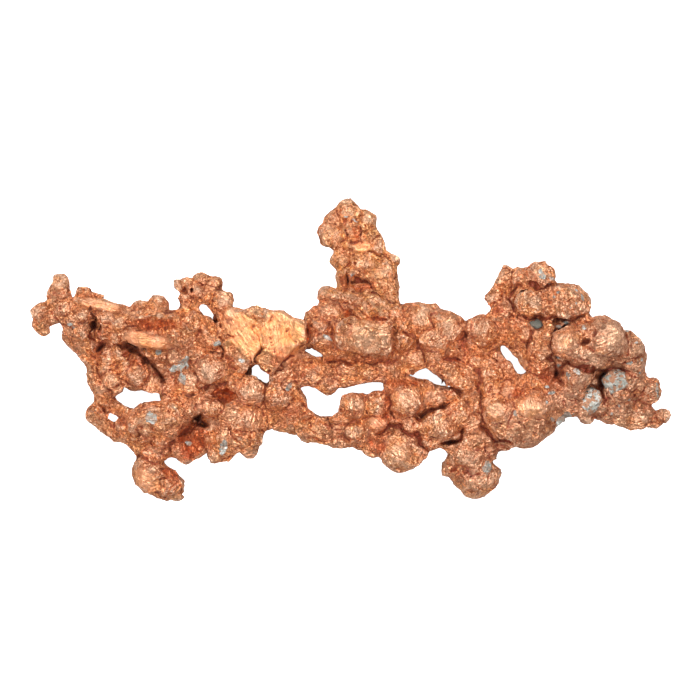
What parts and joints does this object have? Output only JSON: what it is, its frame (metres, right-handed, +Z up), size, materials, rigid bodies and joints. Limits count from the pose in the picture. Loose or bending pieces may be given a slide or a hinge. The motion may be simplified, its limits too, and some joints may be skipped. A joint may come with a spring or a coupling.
{
  "type": "native copper nugget",
  "caption": "Branching, knobbly mass of native copper with see-through gaps between its limbs and small bits of grey host rock held in it, lying flat as a mineral specimen.",
  "frame": {"origin": "middle of the bounding box, on the surface that the nugget rests on", "axes": "+X along the nugget's length, +Y across it towards its upright limb, +Z up from the surface it lies on"},
  "size_m": [0.0802, 0.0382, 0.0145],
  "materials": {
    "copper": "bare native copper, crumpled and satin, bright where worn and dark red-brown in the hollows",
    "host_rock": "matt grey-green rock, mottled with white and dark specks"
  },
  "bodies": {
    "root": {"nugget": "copper", "rock_wedge": "host_rock", "rock_flank": "host_rock", "rock_chip": "host_rock"}
  },
  "joints": []
}
